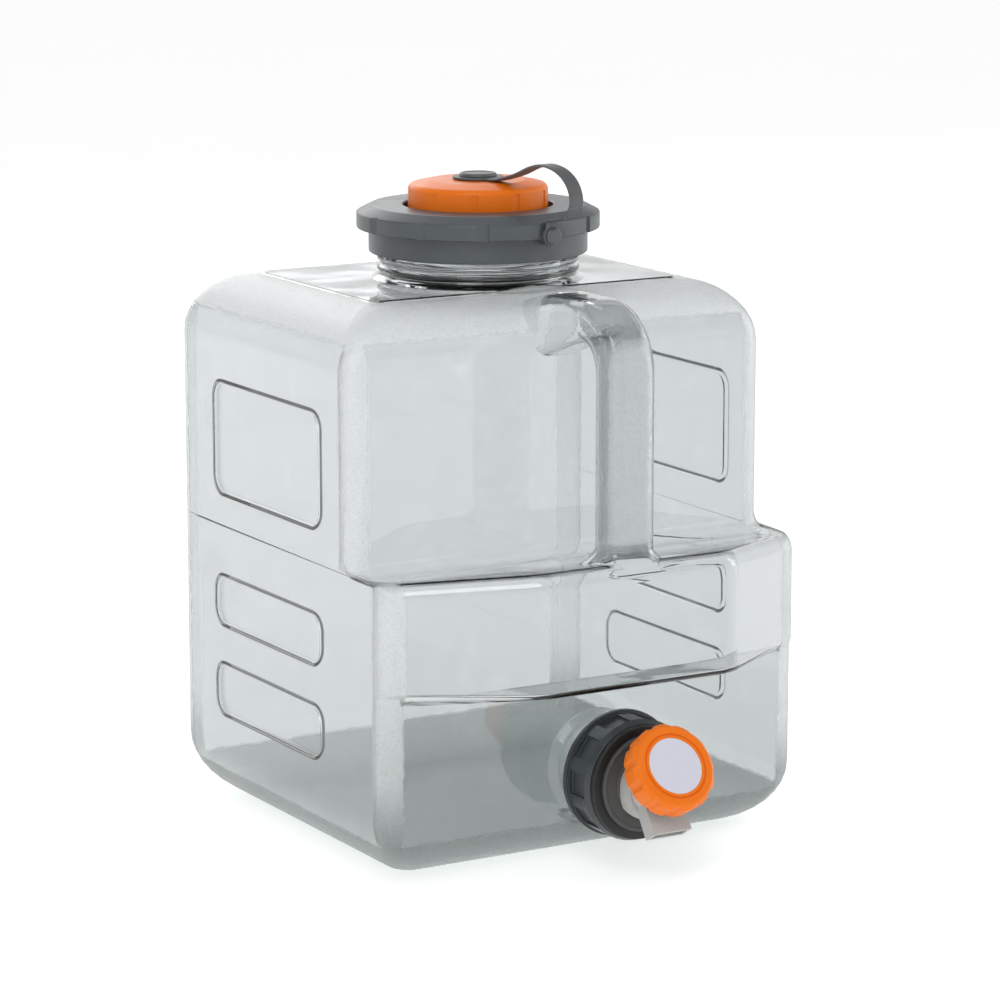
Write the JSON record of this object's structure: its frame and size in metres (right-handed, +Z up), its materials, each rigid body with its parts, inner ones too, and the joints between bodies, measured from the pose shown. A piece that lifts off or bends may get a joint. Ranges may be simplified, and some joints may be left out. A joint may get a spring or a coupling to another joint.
{
  "type": "large water jug",
  "caption": "Clear square water tank with a moulded front handle, a wide screw lid with a tethered fill cap, and a twist-knob tap under a jutting belly.",
  "frame": {"origin": "on the resting face, under the middle of the upper tank", "axes": "+Z up; -Y towards the tap and handle; +X to the right of someone facing the tap"},
  "size_m": [0.226, 0.2864, 0.3219],
  "materials": {
    "clear_tank": "clear smoke-tinted moulded plastic, frosted on the edges",
    "lid_plastic": "satin moulded",
    "orange_plastic": "semi-gloss moulded",
    "pale_silicone": "matt silicone",
    "strap_plastic": "soft satin",
    "collar_plastic": "satin moulded",
    "hub_plastic": "satin moulded",
    "spout_plastic": "satin moulded",
    "black_rubber": "smooth rubber",
    "label_film": "printed film, plain",
    "screw_steel": "machined"
  },
  "bodies": {
    "tank": {"tank": "clear_tank"},
    "lid_seal": {"main_cap_gasket": "pale_silicone"},
    "lid": {"main_cap": "lid_plastic", "tether_pin": "strap_plastic", "tether_strap": "strap_plastic"},
    "fill_seal": {"fill_cap_gasket": "pale_silicone", "tether_button": "strap_plastic"},
    "fill": {"fill_cap": "orange_plastic"},
    "outlet_seal": {"outlet_gasket": "pale_silicone"},
    "tap": {"outlet_cap": "collar_plastic", "front_washer": "black_rubber", "hub_plate": "hub_plastic", "tap_body": "spout_plastic", "shank_washer": "black_rubber", "shank_nut": "spout_plastic", "valve_bonnet": "spout_plastic", "stem_o_ring": "black_rubber"},
    "plug": {"valve_plug": "pale_silicone"},
    "knob": {"tap_knob": "orange_plastic", "knob_label": "label_film", "knob_screw": "screw_steel", "valve_stem": "spout_plastic"}
  },
  "joints": [
    {"name": "lid_rise", "type": "slide", "parent": "tank", "child": "lid_seal", "axis": [0, 0, 1], "range_m": [0, 0.0092]},
    {"name": "lid_turn", "type": "hinge", "parent": "lid_seal", "child": "lid", "pos_m": [0, -0.01, 0.29], "axis": [0, 0, 1], "range_deg": [0, 540]},
    {"name": "fill_rise", "type": "slide", "parent": "lid", "child": "fill_seal", "axis": [0, 0, 1], "range_m": [0, 0.0051], "deforming": ["tether_strap"]},
    {"name": "fill_turn", "type": "hinge", "parent": "fill_seal", "child": "fill", "pos_m": [0, -0.01, 0.3], "axis": [0, 0, 1], "range_deg": [0, 450]},
    {"name": "outlet_rise", "type": "slide", "parent": "tank", "child": "outlet_seal", "axis": [0, -1, 0], "range_m": [0, 0.0065]},
    {"name": "outlet_turn", "type": "hinge", "parent": "outlet_seal", "child": "tap", "pos_m": [0, -0.15, 0.047], "axis": [0, -1, 0], "range_deg": [0, 720]},
    {"name": "plug_lift", "type": "slide", "parent": "tap", "child": "plug", "axis": [0, -0.8387, 0.5446], "range_m": [0, 0.0027]},
    {"name": "knob_turn", "type": "hinge", "parent": "tap", "child": "knob", "pos_m": [0, -0.1882, 0.0613], "axis": [0, -0.8387, 0.5446], "range_deg": [0, 180]}
  ],
  "couplings": [
    {"joint": "lid_rise", "follows": "lid_turn", "m_per_rad": 0.00095493},
    {"joint": "fill_rise", "follows": "fill_turn", "m_per_rad": 0.00063662},
    {"joint": "outlet_rise", "follows": "outlet_turn", "m_per_rad": 0.0005093},
    {"joint": "plug_lift", "follows": "knob_turn", "m_per_rad": 0.00082761}
  ]
}
